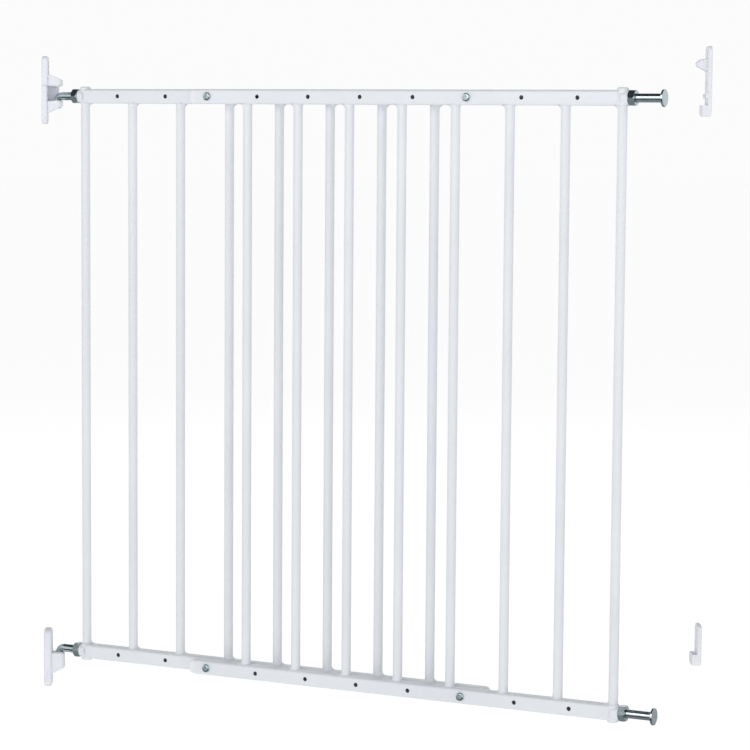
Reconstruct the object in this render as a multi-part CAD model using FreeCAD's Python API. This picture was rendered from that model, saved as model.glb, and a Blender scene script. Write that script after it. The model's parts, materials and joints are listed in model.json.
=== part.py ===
import FreeCAD, Part
import math, os

# Screw-mounted bar gate for a doorway: two equal tube frames bolted side by side,
# hung on two plastic wall brackets and latched into two more.
# X runs along the doorway from the hinge wall to the latch wall, Y points away from
# the side the gate opens to, Z is up.  The origin is the centre of the back of the
# lower hinge bracket.  Units are millimetres.

V = FreeCAD.Vector
os.makedirs("parts", exist_ok=True)

# ---------------------------------------------------------------- driving dimensions
PITCH = 68.0            # bar to bar, centre to centre
N_BARS = 7              # bars in each frame besides its end post
OPEN_DEG = 29.0         # how far the gate stands open, towards -Y

AXIS_X = 19.0           # hinge axis from the hinge wall
WALL_X = 830.0          # latch wall
Z_BOT = 12.0            # axis of the lower rails and bolts
Z_TOP = 704.0           # axis of the upper rails and bolts
POST_X = AXIS_X + 41.0  # end post of the rear frame
SHIFT = 3.5 * PITCH     # front frame end post line ahead of the rear frame
FRAME_T = 16.5          # rear frame plane to front frame plane

BAR_D = 11.0            # bars and end posts
BAR_WALL = 1.0
RAIL_H, RAIL_D = 17.6, 16.5   # rail section, height and depth
RAIL_R = 3.6            # rail section corner radius
RAIL_WALL = 1.2
RAIL_LEN = 552.0        # end post axis to the free end of the rail
HOLE_D = 5.2            # joining holes in the rails
HOLE_OFF = 51.0         # first joining hole from the end post
N_HOLES = 8
BOSS_D, COLLAR_D, COLLAR_L = 13.5, 16.6, 8.4
BOSS_OVER = 2.9         # boss stands proud of the rail
BORE_D = 10.10          # M10 bore in the bosses
ROD_D = 10.0            # M10 rod
NUT_AF, NUT_L = 17.0, 8.0
PIN_D = 9.0             # turned-down bent end of the hinge rod
PIN_BEND = 6.0          # centre-line radius of the bend
PIN_DOWN = 15.0         # pin end below the rod axis
BUSH_OD, BUSH_ID = 10.6, 9.1
SOCKET_D = 10.7         # bush socket in the hinge brackets
EAR_TOP = -6.0          # top of the hinge ear, from the rod axis
HEAD_D, HEAD_T, NECK_L = 19.5, 2.6, 1.7
BOLT_OUT = 50.0         # bolt end from the end post of the front frame
SCREW_D, SCREW_HEAD_D, SCREW_HEAD_H = 5.0, 9.8, 3.0
BR_W = 26.0             # bracket width
CAP_T = 8.0             # rail end cap length outside the rail

END_X = POST_X + SHIFT + N_BARS * PITCH      # end post of the front frame
BOLT_END = END_X + BOLT_OUT
FACE_X = BOLT_END + 0.5                      # face of the latch brackets
CUP_D, LIP_T = 6.6, 1.7                      # cup depth off that face, lip thickness

# ---------------------------------------------------------------- helpers
def box(x0, x1, y0, y1, z0, z1):
    return Part.makeBox(x1 - x0, y1 - y0, z1 - z0, V(x0, y0, z0))

def cyl(r, p, q):
    p, q = V(*p), V(*q)
    return Part.makeCylinder(r, (q - p).Length, p, q - p)

def cone(r0, r1, p, q):
    p, q = V(*p), V(*q)
    return Part.makeCone(r0, r1, (q - p).Length, p, q - p)

def prism_xz(pts, y0, y1):
    w = Part.makePolygon([V(x, y0, z) for x, z in pts] + [V(pts[0][0], y0, pts[0][1])])
    return Part.Face(w).extrude(V(0, y1 - y0, 0))

def edges_along(s, d, test=None):
    out = []
    for e in s.Edges:
        if len(e.Vertexes) != 2 or e.Curve.TypeId != "Part::GeomLine":
            continue
        v = (e.Vertexes[1].Point - e.Vertexes[0].Point).normalize()
        if abs(abs(v.dot(V(*d))) - 1) < 1e-6 and (test is None or test(e.CenterOfMass)):
            out.append(e)
    return out

def face_edges(s, test):
    for f in s.Faces:
        if f.Surface.TypeId == "Part::GeomPlane" and test(f):
            return list(f.Edges)
    return []

def rail_solid(x0, x1, y, z, h=RAIL_H, d=RAIL_D, r=RAIL_R):
    b = box(x0, x1, y - d / 2, y + d / 2, z - h / 2, z + h / 2)
    return b.makeFillet(r, edges_along(b, (1, 0, 0)))

def hexagon(af, x0, x1, y, z, axis="x"):
    r = af / math.sqrt(3)
    pts = []
    for k in range(7):
        a = math.radians(60 * k)
        u, w = r * math.cos(a), r * math.sin(a)
        pts.append(V(x0, y + u, z + w) if axis == "x" else V(x0 + u, y, z + w))
    return pts

def nut_x(x0, x1, y, z, af, bore):
    n = Part.Face(Part.makePolygon(hexagon(af, x0, x1, y, z))).extrude(V(x1 - x0, 0, 0))
    r = af / math.sqrt(3)
    c = 0.16 * (x1 - x0)
    env = cyl(r, (x0, y, z), (x1, y, z))
    env = env.makeChamfer(c, [e for e in env.Edges if e.Curve.TypeId == "Part::GeomCircle"])
    return n.common(env).cut(cyl(bore / 2, (x0 - 1, y, z), (x1 + 1, y, z)))

def nut_y(x, y0, y1, z, af, bore):
    w = Part.makePolygon(hexagon(af, x, x, y0, z, "y"))
    n = Part.Face(w).extrude(V(0, y1 - y0, 0))
    r = af / math.sqrt(3)
    env = cyl(r, (x, y0, z), (x, y1, z))
    env = env.makeChamfer(0.5, [e for e in env.Edges if e.Curve.TypeId == "Part::GeomCircle"])
    return n.common(env).cut(cyl(bore / 2, (x, y0 - 1, z), (x, y1 + 1, z)))

nodes = {}

def put(name, shape, gate=False):
    s = shape
    if gate:                       # the gate is drawn shut and then swung open
        s = s.copy()
        s.rotate(V(AXIS_X, 0, 0), V(0, 0, 1), -OPEN_DEG)
    nodes[name] = s

# ---------------------------------------------------------------- one tube frame
def hole_positions(end, sgn):
    return [end + sgn * (HOLE_OFF + PITCH * i) for i in range(N_HOLES)]

def frame(tag, end, sgn, y):
    """end: X of the end post; sgn: which way the rails run from it."""
    rail_env = {}
    boss_env = {}
    for lvl, z, up in (("top", Z_TOP, 1), ("bottom", Z_BOT, -1)):
        # end boss: short vertical barrel with a cross collar for the rod
        zi, zo = z - up * RAIL_H / 2, z + up * (RAIL_H / 2 + BOSS_OVER)
        z0, z1 = min(zi, zo), max(zi, zo)
        barrel = Part.makeCylinder(BOSS_D / 2, z1 - z0, V(end, y, z0))
        ring = [e for e in barrel.Edges if e.Curve.TypeId == "Part::GeomCircle"
                and abs(e.CenterOfMass.z - zo) < 0.01]
        barrel = barrel.makeFillet(2.6, ring)
        collar = cyl(COLLAR_D / 2, (end, y, z), (end - sgn * COLLAR_L, y, z))
        ring = [e for e in collar.Edges if e.Curve.TypeId == "Part::GeomCircle"
                and abs(e.CenterOfMass.x - (end - sgn * COLLAR_L)) < 0.01]
        collar = collar.makeFillet(1.2, ring)
        boss = barrel.fuse(collar).removeSplitter()
        bore = cyl(BORE_D / 2, (end - 20, y, z), (end + 20, y, z))
        boss_env[lvl] = boss
        put("%s_end_boss_%s" % (tag, lvl), boss.cut(bore), True)
        # rail
        xa, xb = end + sgn * 3.0, end + sgn * (RAIL_LEN - CAP_T)
        x0, x1 = min(xa, xb), max(xa, xb)
        outer = rail_solid(x0, x1, y, z)
        inner = rail_solid(x0 - 5, x1 + 5, y, z, RAIL_H - 2 * RAIL_WALL,
                           RAIL_D - 2 * RAIL_WALL, RAIL_R - RAIL_WALL)
        rail_env[lvl] = outer
        rail = outer.cut(inner).cut(boss)
        cutters = [cyl(HOLE_D / 2, (hx, y - 20, z), (hx, y + 20, z))
                   for hx in hole_positions(end, sgn)]
        put("%s_rail_%s" % (tag, lvl), rail.cut(cutters), True)
        # end cap in the free end of the rail
        xc = end + sgn * RAIL_LEN
        c = rail_solid(min(xb, xc), max(xb, xc), y, z)
        c = box(min(xb, xc), max(xb, xc), y - RAIL_D / 2, y + RAIL_D / 2, z - RAIL_H / 2, z + RAIL_H / 2)
        c = c.makeFillet(7.0, edges_along(c, (0, 1, 0), lambda q: abs(q.x - xc) < 0.01))
        c = c.makeFillet(2.0, [e for e in c.Edges if abs(abs(e.CenterOfMass.y - y) - RAIL_D / 2) < 0.01
                               and abs(e.CenterOfMass.x - xb) > 0.6])
        c = c.common(rail_solid(min(xb, xc), max(xb, xc), y, z))
        plug_in = xb - sgn * 12.0
        g = 0.15
        plug = rail_solid(min(plug_in, xb), max(plug_in, xb), y, z,
                          RAIL_H - 2 * RAIL_WALL - 2 * g, RAIL_D - 2 * RAIL_WALL - 2 * g,
                          RAIL_R - RAIL_WALL - g)
        hollow = cyl(4.4, (plug_in - sgn * 1, y, z), (xb - sgn * 1.0, y, z))
        put("%s_end_cap_%s" % (tag, lvl), c.fuse(plug).cut(hollow).removeSplitter(), True)
    # posts and bars
    rails = [rail_env["top"], rail_env["bottom"]]
    welds = []
    for i in range(N_BARS + 1):
        x = end + sgn * PITCH * i
        if i == 0:
            za, zb = Z_BOT + RAIL_H / 2, Z_TOP - RAIL_H / 2
        else:
            za, zb = Z_BOT, Z_TOP
        solid = Part.makeCylinder(BAR_D / 2, zb - za, V(x, y, za))
        bar = Part.makeCylinder(BAR_D / 2, zb - za, V(x, y, za)).cut(
            Part.makeCylinder(BAR_D / 2 - BAR_WALL, zb - za + 2, V(x, y, za - 1)))
        bar = bar.cut(rails)
        put("%s_end_post" % tag if i == 0 else "%s_bar_%d" % (tag, i), bar, True)
        # fillet weld in the corner on the free-end side of the bar, above and below
        for z, up in ((Z_TOP, -1), (Z_BOT, 1)):
            zc = z + up * RAIL_H / 2
            L = 5.6
            pts = [(x, zc - up * 1.4), (x + sgn * (BAR_D / 2 + L), zc - up * 1.4),
                   (x + sgn * (BAR_D / 2 + L), zc + up * 0.15),
                   (x + sgn * (BAR_D / 2 + 0.15), zc + up * L), (x, zc + up * L)]
            w = prism_xz(pts, y - 2.3, y + 2.3)
            hollow = cyl(L, (x + sgn * (BAR_D / 2 + L), y - 9, zc + up * (L + 0.12)),
                         (x + sgn * (BAR_D / 2 + L), y + 9, zc + up * (L + 0.12)))
            w = w.cut([hollow, solid] + rails)
            best = [s for s in w.Solids if s.Volume > 1.0]
            if i == 0:
                best = [s.cut(boss_env["top" if up < 0 else "bottom"]) for s in best]
                best = [t for s in best for t in s.Solids if t.Volume > 1.0]
            welds += best
    # upright beads that close the rail's end against the boss barrel
    for lvl, z in (("top", Z_TOP), ("bottom", Z_BOT)):
        for side in (-1, 1):
            pts = [V(end + sgn * 0.4, y + side * 4.5, z - 8.2), V(end + sgn * 0.4, y + side * 6.9, z - 8.2),
                   V(end + sgn * 3.0, y + side * 8.1, z - 8.2), V(end + sgn * 3.0, y + side * 4.5, z - 8.2)]
            w = Part.Face(Part.makePolygon(pts + [pts[0]])).extrude(V(0, 0, 16.4))
            w = w.common(rail_solid(end - 6, end + 6, y, z)).cut([boss_env[lvl], rail_env[lvl]])
            welds += [t for t in w.Solids if t.Volume > 1.0]
    put("%s_welds" % tag, Part.makeCompound(welds), True)

frame("rear", POST_X, 1, 0.0)
frame("front", END_X, -1, -FRAME_T)

# ---------------------------------------------------------------- joining screws
for k, (hx, lvl, z) in enumerate([(POST_X + 187.0, "top", Z_TOP), (POST_X + 527.0, "top", Z_TOP),
                                  (POST_X + 187.0, "bottom", Z_BOT), (POST_X + 527.0, "bottom", Z_BOT)]):
    yf = -FRAME_T - RAIL_D / 2
    yb = RAIL_D / 2
    head = cyl(SCREW_HEAD_D / 2, (hx, yf, z), (hx, yf - SCREW_HEAD_H, z))
    rim = [e for e in head.Edges if e.Curve.TypeId == "Part::GeomCircle"
           and abs(e.CenterOfMass.y - (yf - SCREW_HEAD_H)) < 0.01]
    head = head.makeFillet(1.9, rim)
    slot = box(hx - 2.8, hx + 2.8, yf - SCREW_HEAD_H - 0.1, yf - SCREW_HEAD_H + 1.8, z - 0.65, z + 0.65)
    slot2 = box(hx - 0.65, hx + 0.65, yf - SCREW_HEAD_H - 0.1, yf - SCREW_HEAD_H + 1.8, z - 2.8, z + 2.8)
    shank = cyl(SCREW_D / 2, (hx, yf, z), (hx, yb + 6.0, z))
    put("join_screw_%d" % (k + 1), head.cut([slot, slot2]).fuse(shank).removeSplitter(), True)
    put("join_nut_%d" % (k + 1), nut_y(hx, yb, yb + 4.2, z, 8.0, SCREW_D + 0.04), True)

# ---------------------------------------------------------------- hinge pins, latch bolts, lock nuts
for lvl, z in (("top", Z_TOP), ("bottom", Z_BOT)):
    r = PIN_D / 2
    down = Part.makeCylinder(r, PIN_DOWN - PIN_BEND, V(AXIS_X, 0, z - PIN_DOWN))
    tip = [e for e in down.Edges if e.Curve.TypeId == "Part::GeomCircle"
           and abs(e.CenterOfMass.z - (z - PIN_DOWN)) < 0.01]
    down = down.makeChamfer(0.6, tip)
    circ = Part.Wire(Part.makeCircle(r, V(AXIS_X, 0, z - PIN_BEND), V(0, 0, 1)))
    bend = Part.Face(circ).revolve(V(AXIS_X + PIN_BEND, 0, z - PIN_BEND), V(0, 1, 0), 90)
    rod = cyl(ROD_D / 2, (AXIS_X + PIN_BEND + 0.6, 0, z), (POST_X + 32, 0, z))
    rod = rod.makeChamfer(0.49, [e for e in rod.Edges if e.Curve.TypeId == "Part::GeomCircle"])
    neck = cyl(r, (AXIS_X + PIN_BEND, 0, z), (AXIS_X + PIN_BEND + 1.6, 0, z))
    pin = down.fuse([bend, neck, rod]).removeSplitter()
    put("hinge_pin_%s" % lvl, pin, True)
    put("hinge_lock_nut_%s" % lvl,
        nut_x(POST_X - COLLAR_L - NUT_L, POST_X - COLLAR_L, 0, z, NUT_AF, ROD_D + 0.06), True)

    yb = -FRAME_T
    shank = cyl(ROD_D / 2, (END_X - 30, yb, z), (BOLT_END - HEAD_T - NECK_L, yb, z))
    tip = [e for e in shank.Edges if e.Curve.TypeId == "Part::GeomCircle"
           and abs(e.CenterOfMass.x - (END_X - 30)) < 0.01]
    shank = shank.makeChamfer(0.9, tip)
    neckc = cone(ROD_D / 2, 8.4, (BOLT_END - HEAD_T - NECK_L, yb, z), (BOLT_END - HEAD_T, yb, z))
    disc = cyl(HEAD_D / 2, (BOLT_END - HEAD_T, yb, z), (BOLT_END, yb, z))
    disc = disc.makeFillet(0.6, [e for e in disc.Edges if e.Curve.TypeId == "Part::GeomCircle"])
    put("latch_bolt_%s" % lvl, shank.fuse([neckc, disc]).removeSplitter(), True)
    put("latch_lock_nut_%s" % lvl,
        nut_x(END_X + COLLAR_L, END_X + COLLAR_L + NUT_L, yb, z, NUT_AF, ROD_D + 0.3), True)

# ---------------------------------------------------------------- hinge bushes
for lvl, z in (("top", Z_TOP), ("bottom", Z_BOT)):
    b = Part.makeCylinder(BUSH_OD / 2, 7.0, V(AXIS_X, 0, z + EAR_TOP - 7.0))
    fl = Part.makeCylinder(6.2, 0.8, V(AXIS_X, 0, z + EAR_TOP))
    b = b.fuse(fl).cut(Part.makeCylinder(BUSH_ID / 2, 20, V(AXIS_X, 0, z + EAR_TOP - 12)))
    b = b.cut(cone(BUSH_ID / 2, BUSH_ID / 2 + 1.1, (AXIS_X, 0, z + EAR_TOP - 0.5), (AXIS_X, 0, z + EAR_TOP + 0.81)))
    put("hinge_bush_%s" % lvl, b.removeSplitter())

# ---------------------------------------------------------------- brackets
def plate(x0, x1, yc, z0, z1, front, w=BR_W, r=6.0, edge=2.8, back=2.2):
    """Back plate against a wall; front: X of the face away from the wall."""
    b = box(x0, x1, yc - w / 2, yc + w / 2, z0, z1)
    b = b.makeFillet(r, edges_along(b, (1, 0, 0)))
    b = b.makeFillet(edge, face_edges(b, lambda f: abs(f.CenterOfMass.x - front) < 0.01))
    wall = x0 if abs(front - x1) < 0.01 else x1
    return b.makeFillet(back, face_edges(b, lambda f: abs(f.CenterOfMass.x - wall) < 0.01))

def screw_hole(x_wall, x_face, yc, z, r=2.3, rc=4.3):
    d = 1 if x_face > x_wall else -1
    h = cyl(r, (x_wall - d, yc, z), (x_face + d, yc, z))
    c = cone(rc + 0.02, r, (x_face + d * 0.02, yc, z), (x_face - d * (rc - r), yc, z))
    return [h, c]

PT = 7.4                                    # hinge bracket plate thickness
SEAM = 12.6                                 # seam between base and lock slider, from the rod axis

def ear(z, tip_bot, root_bot, half_w):
    e = prism_xz([(PT - 2.5, z + EAR_TOP), (25.5, z + EAR_TOP), (25.5, z + tip_bot), (PT - 2.5, z + root_bot)],
                 -half_w, half_w)
    e = e.makeFillet(6.0, edges_along(e, (0, 0, 1), lambda c: c.x > 25))
    return e.makeFillet(0.8, face_edges(e, lambda f: abs(f.normalAt(0, 0).z) > 0.99))

# upper hinge bracket: base plate, ear, rear web, T-rail for the slider
z = Z_TOP
base = box(0, PT, -BR_W / 2, BR_W / 2, z - 34.5, z + SEAM)
base = base.makeFillet(7.0, edges_along(base, (1, 0, 0), lambda c: c.z < z))
for xf, rf in ((PT, 2.6), (0.0, 2.2)):
    base = base.makeFillet(rf, [e for e in face_edges(base, lambda f: abs(f.CenterOfMass.x - xf) < 0.01)
                                if abs(e.CenterOfMass.z - (z + SEAM)) > 0.01])
trail = box(0, 1.8, -7.0, 7.0, z + SEAM - 1, z + 46.0).fuse(box(1.8, 3.6, -9.5, 9.5, z + SEAM - 1, z + 46.0))
web = box(PT - 2, 20.5, 9.2, 12.4, z - 14.0, z + SEAM)
web = web.makeFillet(1.2, edges_along(web, (0, 0, 1), lambda c: c.x > 20))
gusset = prism_xz([(PT - 2, z - 5), (20.5, z - 5), (20.5, z - 14), (PT - 2, z - 21.0)], 8.0, 12.4)
top = base.fuse([trail, web, gusset, ear(z, -12.5, -21.5, 9.5)])
top = top.cut([cyl(SOCKET_D / 2, (AXIS_X, 0, z - 30), (AXIS_X, 0, z + EAR_TOP + 1))]
              + screw_hole(0, PT, 0, z - 28) + screw_hole(0, 3.6, 0, z + 38))
put("hinge_bracket_top", top.removeSplitter())

# lock slider over the upper hinge pin
g = 0.3
s0, s1 = z + SEAM + 0.3, z + 49.0
sl = box(g, 8.2, -BR_W / 2, BR_W / 2, s0, s1)
sl = sl.makeFillet(6.0, edges_along(sl, (1, 0, 0), lambda c: c.z > z + 40))
for xf, rf in ((8.2, 2.6), (g, 2.8)):
    sl = sl.makeFillet(rf, [e for e in face_edges(sl, lambda f: abs(f.CenterOfMass.x - xf) < 0.01)
                            if abs(e.CenterOfMass.z - s0) > 0.01])
ear2 = prism_xz([(6.0, s0), (25.5, s0), (25.5, z + 19.8), (8.2, z + 27.2), (6.0, z + 27.2)], -9.5, 9.5)
ear2 = ear2.makeFillet(6.0, edges_along(ear2, (0, 0, 1), lambda c: c.x > 25))
knob = Part.makeCylinder(4.4, 3.0, V(AXIS_X + 0.5, 0, z + 11.3))
sl = sl.fuse([ear2, knob])
chan = box(-1, 1.8 + g, -7.0 - g, 7.0 + g, s0 - 1, z + 46.4).fuse(
    box(1.8 - g, 3.6 + g, -9.5 - g, 9.5 + g, s0 - 1, z + 46.4))
win = cyl(5.0, (0, 0, z + 38), (12, 0, z + 38))
grip = [box(7.5, 9, -7.0, 7.0, z + 28.6 + 2.2 * k, z + 29.5 + 2.2 * k) for k in range(2)]
put("hinge_lock_slider", sl.cut([chan, win] + grip).removeSplitter())

# lower hinge bracket
z = Z_BOT
base = plate(0, 10.0, 0, z - 48.5, z + 24.5, 10.0, r=8.0, edge=3.6, back=3.2)
bot = base.fuse(ear(z, -24.8, -35.0, 9.5))
bot = bot.cut([Part.makeCylinder(SOCKET_D / 2, 16.5, V(AXIS_X, 0, z + EAR_TOP - 15.5))]
              + screw_hole(0, 10.0, 0, z + 15) + screw_hole(0, 10.0, 0, z - 41.5))
put("hinge_bracket_bottom", bot.removeSplitter())

# latch brackets: plate, cup for the bolt head, finger guard on the upper one
YL = -FRAME_T
CUP_BOT, CUP_TOP = -19.5, -5.4
for lvl, z, z0, z1, holes in (("top", Z_TOP, -19.5, 68.0, (24.0, 60.0)),
                              ("bottom", Z_BOT, -20.0, 32.7, (14.5, 27.0))):
    pl = plate(FACE_X, WALL_X, YL, z + z0, z + z1, FACE_X, r=7.0, edge=2.6, back=2.2)
    cup = box(FACE_X - CUP_D, FACE_X + 2.5, YL - BR_W / 2, YL + BR_W / 2, z + z0, z + CUP_TOP)
    cup = cup.makeFillet(7.0, edges_along(cup, (1, 0, 0), lambda c: c.z < z - 12))
    cup = cup.makeFillet(1.9, face_edges(cup, lambda f: abs(f.CenterOfMass.x - (FACE_X - CUP_D)) < 0.01))
    parts = [cup]
    for side in ((-1, 1) if lvl == "top" else ()):
        yy = YL + side * 11.7
        rib = box(FACE_X - 2.0, FACE_X + 1, yy - 1.1, yy + 1.1, z + 3.0, z + 9.0)
        rib = rib.makeFillet(0.8, edges_along(rib, (0, 1, 0), lambda c: c.x < FACE_X))
        parts.append(rib)
    if lvl == "top":
        fin = prism_xz([(FACE_X + 1, z + 53.0), (FACE_X - 9.0, z + 51.0), (FACE_X - 13.6, z + 46.6),
                        (FACE_X - 12.4, z + 42.6), (FACE_X, z + 36.2), (FACE_X + 1, z + 36.2)],
                       YL - 8.0, YL + 8.0)
        fin = fin.makeFillet(1.8, edges_along(fin, (0, 1, 0), lambda c: c.x < FACE_X - 8))
        fin = fin.makeFillet(2.2, [e for e in fin.Edges if abs(e.CenterOfMass.y - YL) > 7.9
                                   and e.CenterOfMass.x < FACE_X - 0.5 and e.Length > 3.0])
        parts.append(fin)
    br = pl.fuse(parts)
    xl = FACE_X - CUP_D + LIP_T
    pocket = cyl(HEAD_D / 2 + 0.5, (xl, YL, z), (FACE_X, YL, z))
    mouth = prism_xz([(xl, z + CUP_TOP - 1.6), (xl - 0.8, z + CUP_TOP + 1),
                      (xl + 0.1, z + CUP_TOP + 1)], YL - 9, YL + 9)
    cuts = [pocket, mouth]
    for h in holes:
        cuts += screw_hole(WALL_X, FACE_X, YL, z + h)
    put("latch_bracket_%s" % lvl, br.cut(cuts).removeSplitter())

# ---------------------------------------------------------------- export
for name in sorted(nodes):
    nodes[name].exportStep("parts/%s.step" % name)
print("nodes", len(nodes), "mm wide", WALL_X, "end post", END_X, "bolt end", BOLT_END)
for name in sorted(nodes):
    s = nodes[name]
    if not s.isValid() or s.Volume <= 0 or len(s.Solids) != (1 if "welds" not in name else len(s.Solids)):
        print("CHECK", name, s.isValid(), round(s.Volume, 1), len(s.Solids))
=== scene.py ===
import json, math
import bpy, bmesh
from mathutils import Matrix, Vector


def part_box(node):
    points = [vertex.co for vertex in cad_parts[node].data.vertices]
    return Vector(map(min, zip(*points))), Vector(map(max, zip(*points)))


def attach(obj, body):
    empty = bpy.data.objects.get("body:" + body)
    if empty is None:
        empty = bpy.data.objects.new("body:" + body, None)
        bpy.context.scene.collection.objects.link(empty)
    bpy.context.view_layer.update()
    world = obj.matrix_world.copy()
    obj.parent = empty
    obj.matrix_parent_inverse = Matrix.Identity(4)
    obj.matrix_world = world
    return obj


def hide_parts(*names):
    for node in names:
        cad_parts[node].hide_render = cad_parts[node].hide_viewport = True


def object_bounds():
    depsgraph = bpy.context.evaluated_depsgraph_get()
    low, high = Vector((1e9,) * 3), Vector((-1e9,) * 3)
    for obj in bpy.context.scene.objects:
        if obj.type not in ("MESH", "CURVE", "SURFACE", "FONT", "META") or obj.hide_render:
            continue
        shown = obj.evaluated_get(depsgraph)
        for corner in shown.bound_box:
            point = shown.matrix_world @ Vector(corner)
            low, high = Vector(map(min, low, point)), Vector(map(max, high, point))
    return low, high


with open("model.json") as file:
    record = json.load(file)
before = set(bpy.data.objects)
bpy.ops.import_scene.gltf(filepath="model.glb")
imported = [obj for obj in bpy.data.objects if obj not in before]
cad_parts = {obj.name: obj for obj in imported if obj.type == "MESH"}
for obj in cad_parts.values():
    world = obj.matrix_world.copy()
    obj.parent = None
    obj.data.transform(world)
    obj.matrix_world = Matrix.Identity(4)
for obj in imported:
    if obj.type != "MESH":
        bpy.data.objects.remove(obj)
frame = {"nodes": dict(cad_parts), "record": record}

CAD_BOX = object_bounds()
NODES = frame["nodes"]
RECORD = frame["record"]

# ------------------------------------------------------------------ node helpers
def new_mat(name):
    m = bpy.data.materials.new(name)
    m.use_nodes = True
    nt = m.node_tree
    nt.nodes.clear()
    out = nt.nodes.new("ShaderNodeOutputMaterial")
    bs = nt.nodes.new("ShaderNodeBsdfPrincipled")
    nt.links.new(bs.outputs[0], out.inputs[0])
    return m, nt, bs

def coords(nt, scale=(1, 1, 1)):
    tc = nt.nodes.new("ShaderNodeTexCoord")
    mp = nt.nodes.new("ShaderNodeMapping")
    mp.inputs["Scale"].default_value = scale
    nt.links.new(tc.outputs["Object"], mp.inputs["Vector"])
    return mp.outputs[0]

def noise(nt, vec, scale, detail=3.0, rough=0.5):
    n = nt.nodes.new("ShaderNodeTexNoise")
    n.inputs["Scale"].default_value = scale
    n.inputs["Detail"].default_value = detail
    n.inputs["Roughness"].default_value = rough
    nt.links.new(vec, n.inputs["Vector"])
    return n.outputs["Fac"]

def ramp(nt, fac, stops):
    r = nt.nodes.new("ShaderNodeValToRGB")
    el = r.color_ramp.elements
    while len(el) > len(stops):
        el.remove(el[-1])
    while len(el) < len(stops):
        el.new(0.5)
    for e, (p, c) in zip(el, stops):
        e.position = p
        e.color = (*c, 1.0) if len(c) == 3 else c
    nt.links.new(fac, r.inputs[0])
    return r.outputs[0]

def rng(nt, fac, a, b, c, d):
    m = nt.nodes.new("ShaderNodeMapRange")
    for i, v in enumerate((a, b, c, d)):
        m.inputs[i + 1].default_value = v
    nt.links.new(fac, m.inputs[0])
    return m.outputs[0]

def mix_rgb(nt, a, b, fac):
    m = nt.nodes.new("ShaderNodeMix")
    m.data_type = "RGBA"
    nt.links.new(fac, m.inputs[0])
    nt.links.new(a, m.inputs[6])
    nt.links.new(b, m.inputs[7])
    return m.outputs[2]

def mul(nt, a, k):
    m = nt.nodes.new("ShaderNodeMath")
    m.operation = "MULTIPLY"
    m.inputs[1].default_value = k
    nt.links.new(a, m.inputs[0])
    return m.outputs[0]

def add(nt, a, b):
    m = nt.nodes.new("ShaderNodeMath")
    m.operation = "ADD"
    nt.links.new(a, m.inputs[0])
    nt.links.new(b, m.inputs[1])
    return m.outputs[0]

def bump(nt, bs, height, strength, dist):
    b = nt.nodes.new("ShaderNodeBump")
    b.inputs["Strength"].default_value = strength
    b.inputs["Distance"].default_value = dist
    nt.links.new(height, b.inputs["Height"])
    nt.links.new(b.outputs[0], bs.inputs["Normal"])

# ------------------------------------------------------------------ materials
def powder_coat():
    """Satin white powder coat over steel tube: faint orange peel, slight tone drift."""
    m, nt, bs = new_mat("powder_coat_white")
    v = coords(nt)
    broad = noise(nt, v, 9.0, 2.0)
    peel = noise(nt, v, 420.0, 2.0, 0.55)
    fine = noise(nt, v, 1500.0, 1.0)
    col = ramp(nt, broad, [(0.30, (0.704, 0.728, 0.768)), (0.70, (0.746, 0.767, 0.801))])
    nt.links.new(col, bs.inputs["Base Color"])
    nt.links.new(rng(nt, peel, 0.3, 0.7, 0.30, 0.40), bs.inputs["Roughness"])
    bs.inputs["Coat Weight"].default_value = 0.25
    bs.inputs["Coat Roughness"].default_value = 0.18
    bs.inputs["IOR"].default_value = 1.5
    bump(nt, bs, add(nt, peel, mul(nt, fine, 0.25)), 0.22, 0.00012)
    return m

def zinc_plate():
    """Bright blue-white zinc on turned steel: fine turning lines, cloudy passivation."""
    m, nt, bs = new_mat("zinc_bright")
    v = coords(nt)
    cloud = noise(nt, v, 160.0, 3.0, 0.6)
    grain = noise(nt, coords(nt, (1, 1, 1)), 2600.0, 2.0, 0.6)
    col = ramp(nt, cloud, [(0.28, (0.48, 0.575, 0.60)), (0.55, (0.62, 0.71, 0.74)), (0.80, (0.56, 0.63, 0.64))])
    nt.links.new(col, bs.inputs["Base Color"])
    bs.inputs["Metallic"].default_value = 1.0
    nt.links.new(rng(nt, cloud, 0.3, 0.75, 0.13, 0.26), bs.inputs["Roughness"])
    bump(nt, bs, add(nt, mul(nt, cloud, 0.5), grain), 0.12, 0.00006)
    return m

def bracket_plastic():
    """Injection-moulded white plastic with a fine spark-eroded skin."""
    m, nt, bs = new_mat("bracket_plastic_white")
    v = coords(nt)
    broad = noise(nt, v, 26.0, 2.0)
    skin = noise(nt, v, 1100.0, 2.0, 0.6)
    flow = noise(nt, coords(nt, (1.0, 1.0, 0.3)), 120.0, 2.0)
    col = ramp(nt, broad, [(0.32, (0.733, 0.744, 0.800)), (0.68, (0.772, 0.783, 0.834))])
    nt.links.new(col, bs.inputs["Base Color"])
    nt.links.new(rng(nt, skin, 0.3, 0.7, 0.32, 0.42), bs.inputs["Roughness"])
    bs.inputs["Subsurface Weight"].default_value = 0.08
    bs.inputs["Subsurface Radius"].default_value = (0.004, 0.004, 0.005)
    bs.inputs["Subsurface Scale"].default_value = 1.0
    bump(nt, bs, add(nt, skin, mul(nt, flow, 0.6)), 0.20, 0.00010)
    return m

def nylon():
    m, nt, bs = new_mat("nylon_natural")
    v = coords(nt)
    skin = noise(nt, v, 900.0, 2.0, 0.6)
    col = ramp(nt, noise(nt, v, 60.0, 2.0), [(0.3, (0.70, 0.72, 0.75)), (0.7, (0.76, 0.78, 0.80))])
    nt.links.new(col, bs.inputs["Base Color"])
    nt.links.new(rng(nt, skin, 0.3, 0.7, 0.34, 0.46), bs.inputs["Roughness"])
    bump(nt, bs, skin, 0.15, 0.00008)
    return m

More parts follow.
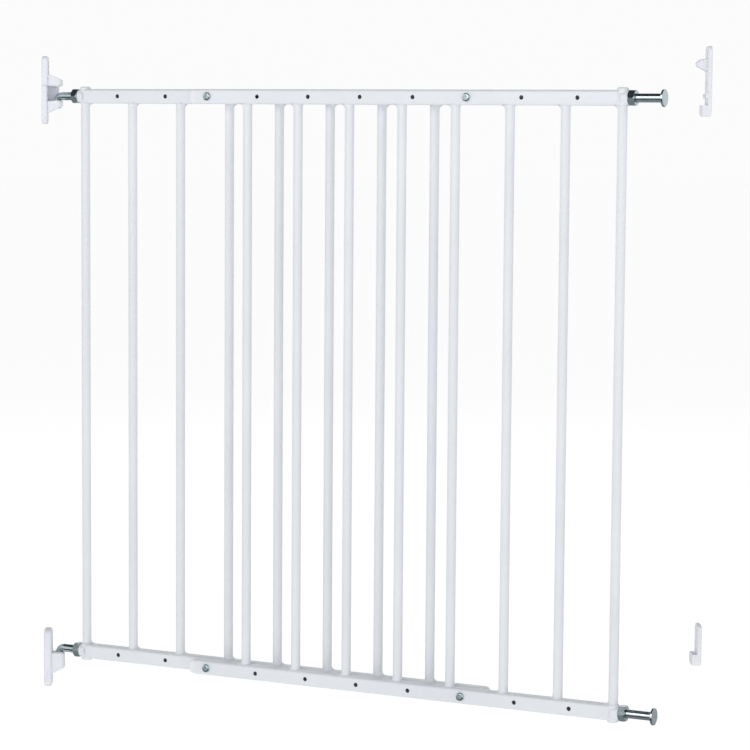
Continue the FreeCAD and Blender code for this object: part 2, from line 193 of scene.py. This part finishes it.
def cap_plastic():
    m, nt, bs = new_mat("cap_plastic_white")
    v = coords(nt)
    skin = noise(nt, v, 1000.0, 2.0, 0.6)
    col = ramp(nt, noise(nt, v, 40.0, 2.0), [(0.3, (0.74, 0.745, 0.785)), (0.7, (0.785, 0.79, 0.825))])
    nt.links.new(col, bs.inputs["Base Color"])
    nt.links.new(rng(nt, skin, 0.3, 0.7, 0.40, 0.50), bs.inputs["Roughness"])
    bump(nt, bs, skin, 0.18, 0.00009)
    return m

MATS = {"frame_paint": powder_coat(), "zinc": zinc_plate(), "bracket_plastic": bracket_plastic(),
        "nylon": nylon(), "cap_plastic": cap_plastic()}
SLOT = {s["node"]: s["material_slot"] for s in RECORD["subparts"]}
for name, obj in NODES.items():
    mat = MATS[SLOT[name]]
    if not obj.material_slots:
        obj.data.materials.append(mat)
    for sl in obj.material_slots:
        sl.material = mat

# ------------------------------------------------------------------ weld beads
def centre(node):
    l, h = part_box(node)
    return Vector(((l[0] + h[0]) / 2, (l[1] + h[1]) / 2, (l[2] + h[2]) / 2)), l[2], h[2]

def bead(bm, foot, side, up, r_bar, leg, seed, spread=72.0):
    """Concave fillet bead round one side of a bar: foot is on the rail at the bar's axis."""
    across = Vector((-side.y, side.x, 0.0))
    n_a, n_p = 22, 8
    rows = []
    for i in range(n_a + 1):
        t = -1.0 + 2.0 * i / n_a
        ang = math.radians(spread) * t
        taper = math.sqrt(max(0.0, 1.0 - t * t))
        ripple = 1.0 + 0.055 * math.sin(9.0 * t + seed * 1.7) + 0.035 * math.sin(21.0 * t + seed * 3.1)
        L = leg * (0.10 + 0.90 * taper ** 0.8) * ripple
        d = side * math.cos(ang) + across * math.sin(ang)
        row = []
        for k in range(n_p + 1):
            q = math.pi / 2 * k / n_p
            rr = r_bar + L * (1.0 - math.sin(q))          # concave quarter profile
            hh = L * (1.0 - math.cos(q))
            if k == 0:
                rr, hh = r_bar + L * 1.0, -0.0004
            if k == n_p:
                rr, hh = r_bar - 0.0004, L * 1.0
            row.append(bm.verts.new(foot + d * rr + Vector((0, 0, up * hh))))
        row.append(bm.verts.new(foot + d * (r_bar - 0.0004) + Vector((0, 0, -up * 0.0004))))
        rows.append(row)
    m = len(rows[0])
    for i in range(n_a):
        for k in range(m):
            q = (rows[i][k], rows[i + 1][k], rows[i + 1][(k + 1) % m], rows[i][(k + 1) % m])
            bm.faces.new(q if up > 0 else tuple(reversed(q)))
    bm.faces.new(list(reversed(rows[0])) if up > 0 else rows[0])
    bm.faces.new(rows[-1] if up > 0 else list(reversed(rows[-1])))

def weld_set(tag, sgn):
    c1, _, _ = centre("%s_bar_1" % tag)
    c7, _, _ = centre("%s_bar_7" % tag)
    run = (c7 - c1).normalized()
    run.z = 0
    bm = bmesh.new()
    for i in range(8):
        nm = "%s_end_post" % tag if i == 0 else "%s_bar_%d" % (tag, i)
        c, z0, z1 = centre(nm)
        for z, up in ((z0, 1), (z1, -1)):
            bead(bm, Vector((c.x, c.y, z)), run, up, 0.0055, 0.0056, i + (0.5 if up > 0 else 0.0) + (9 if tag == "front" else 0))
            bead(bm, Vector((c.x, c.y, z)), -run, up, 0.0055, 0.0016, i + 31.0, 88.0)
    across = Vector((-run.y, run.x, 0.0))
    post, _, _ = centre("%s_end_post" % tag)
    for lvl in ("top", "bottom"):
        zc = centre("%s_rail_%s" % (tag, lvl))[0].z
        for side in (-1, 1):
            rows = []
            for i in range(25):
                dz = (-8.3 + 16.6 * i / 24) * 0.001
                az = abs(dz)
                yr = 0.00825 if az <= 0.0052 else 0.00825 - 0.0036 + math.sqrt(max(0.0, 0.0036 ** 2 - (az - 0.0052) ** 2))
                wob = 1.0 + 0.06 * math.sin(i * 1.9 + side + len(lvl))
                y_out = max(0.0050, yr - 0.00008)
                y_in = min(0.0067, y_out)
                prof = [(0.0002, 0.0055), (0.0002, y_in)]
                for q in (0.25, 0.5, 0.75):
                    x = 0.0002 + 0.0031 * q
                    lin = y_in + (y_out - y_in) * q
                    prof.append((x, lin - 0.00022 * math.sin(math.pi * q) * wob))
                prof += [(0.0033, y_out), (0.0033, 0.0055)]
                rows.append([bm.verts.new(Vector((post.x, post.y, zc + dz)) + run * x + across * (side * y)) for x, y in prof])
            m = len(rows[0])
            for i in range(24):
                for k in range(m):
                    bm.faces.new((rows[i][k], rows[i + 1][k], rows[i + 1][(k + 1) % m], rows[i][(k + 1) % m]))
            bm.faces.new(rows[0])
            bm.faces.new(rows[-1])
    bmesh.ops.recalc_face_normals(bm, faces=bm.faces)
    me = bpy.data.meshes.new("%s_weld_beads" % tag)
    bm.to_mesh(me)
    bm.free()
    for f in me.polygons:
        f.use_smooth = True
    o = bpy.data.objects.new("%s_weld_beads" % tag, me)
    bpy.context.scene.collection.objects.link(o)
    me.materials.append(MATS["frame_paint"])
    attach(o, "gate")
    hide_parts("%s_welds" % tag)
    return o

weld_set("rear", 1)
weld_set("front", -1)

# ------------------------------------------------------------------ floor
lo, hi = CAD_BOX
me = bpy.data.meshes.new("floor")
bm = bmesh.new()
S = 30.0
zf = lo[2] - 0.045
vs = [bm.verts.new((x + 0.4, y, zf)) for x, y in ((-S, -S), (S, -S), (S, S), (-S, S))]
bm.faces.new(vs)
bm.to_mesh(me)
bm.free()
floor = bpy.data.objects.new("floor", me)
bpy.context.scene.collection.objects.link(floor)
fm, nt, bs = new_mat("floor_pale")
bs.inputs["Base Color"].default_value = (0.20, 0.20, 0.20, 1)
bs.inputs["Roughness"].default_value = 0.9
bs.inputs["Specular IOR Level"].default_value = 0.0
bs.inputs["Emission Color"].default_value = (1, 1, 1, 1)
bs.inputs["Emission Strength"].default_value = 0.905
floor.data.materials.append(fm)
floor.visible_glossy = False

# ------------------------------------------------------------------ light
world = bpy.data.worlds.new("studio")
bpy.context.scene.world = world
world.use_nodes = True
wt = world.node_tree
wt.nodes.clear()
wo = wt.nodes.new("ShaderNodeOutputWorld")
bg_cam = wt.nodes.new("ShaderNodeBackground")
bg_cam.inputs[0].default_value = (0.972, 0.972, 0.972, 1)
bg_cam.inputs[1].default_value = 1.0
bg_env = wt.nodes.new("ShaderNodeBackground")
tc = wt.nodes.new("ShaderNodeTexCoord")
sx = wt.nodes.new("ShaderNodeSeparateXYZ")
wt.links.new(tc.outputs["Generated"], sx.inputs[0])
env = ramp(wt, rng(wt, sx.outputs["Z"], -1.0, 1.0, 0.0, 1.0),
           [(0.00, (0.34, 0.36, 0.37)), (0.15, (0.30, 0.32, 0.33)), (0.22, (0.03, 0.04, 0.045)),
            (0.36, (0.03, 0.04, 0.045)), (0.42, (0.98, 0.99, 1.0)), (0.76, (1.0, 1.0, 1.0)),
            (0.84, (0.04, 0.05, 0.055)), (1.0, (0.03, 0.04, 0.045))])
wt.links.new(env, bg_env.inputs[0])
bg_env.inputs[1].default_value = 0.80
lp = wt.nodes.new("ShaderNodeLightPath")
mx = wt.nodes.new("ShaderNodeMixShader")
wt.links.new(lp.outputs["Is Camera Ray"], mx.inputs[0])
wt.links.new(bg_env.outputs[0], mx.inputs[1])
wt.links.new(bg_cam.outputs[0], mx.inputs[2])
wt.links.new(mx.outputs[0], wo.inputs[0])

def area(name, loc, target, size, power, color=(1, 1, 1), size_y=None, glossy=False):
    d = bpy.data.lights.new(name, "AREA")
    d.shape = "RECTANGLE"
    d.size = size
    d.size_y = size_y or size
    d.energy = power
    d.color = color
    o = bpy.data.objects.new(name, d)
    bpy.context.scene.collection.objects.link(o)
    o.location = loc
    o.rotation_euler = (Vector(target) - Vector(loc)).to_track_quat("-Z", "Y").to_euler()
    o.visible_glossy = glossy
    return o

C = ((lo[0] + hi[0]) / 2, (lo[1] + hi[1]) / 2, (lo[2] + hi[2]) / 2)
area("key", (-1.4, -2.8, 1.6), C, 1.6, 21, (1.0, 1.0, 1.0), 2.2, True)
area("fill", (2.9, -2.0, 0.9), C, 1.6, 9, (0.96, 0.97, 1.0), 2.0)
area("top", (0.4, -0.6, 3.2), C, 2.2, 17)
area("front", (0.35, -3.3, 0.55), C, 1.3, 9)
area("back", (0.6, 2.8, 2.2), C, 2.4, 12)

# ------------------------------------------------------------------ camera
FOCAL_PX, IMG = 2690.8, 750.0
PSI, PITCH, ROLL = math.radians(2.47), math.radians(5.439), math.radians(0.42)
cam_d = bpy.data.cameras.new("camera")
cam_d.sensor_fit = "HORIZONTAL"
cam_d.sensor_width = 36.0
cam_d.lens = FOCAL_PX / IMG * 36.0
cam_d.clip_end = 100
cam = bpy.data.objects.new("camera", cam_d)
bpy.context.scene.collection.objects.link(cam)
right = Vector((math.cos(PSI), -math.sin(PSI), 0))
fwd_h = Vector((math.sin(PSI), math.cos(PSI), 0))
fwd = fwd_h * math.cos(PITCH) + Vector((0, 0, -math.sin(PITCH)))
down = -(right.cross(fwd)).normalized()
r2 = right * math.cos(ROLL) - down * math.sin(ROLL)
d2 = right * math.sin(ROLL) + down * math.cos(ROLL)
m = Matrix((( r2.x, -d2.x, -fwd.x, 0.27003), (r2.y, -d2.y, -fwd.y, -3.36342),
            (r2.z, -d2.z, -fwd.z, 0.6789), (0, 0, 0, 1)))
cam.matrix_world = m
bpy.context.scene.camera = cam
bpy.context.scene.view_settings.view_transform = "Standard"
bpy.context.scene.view_settings.look = "None"
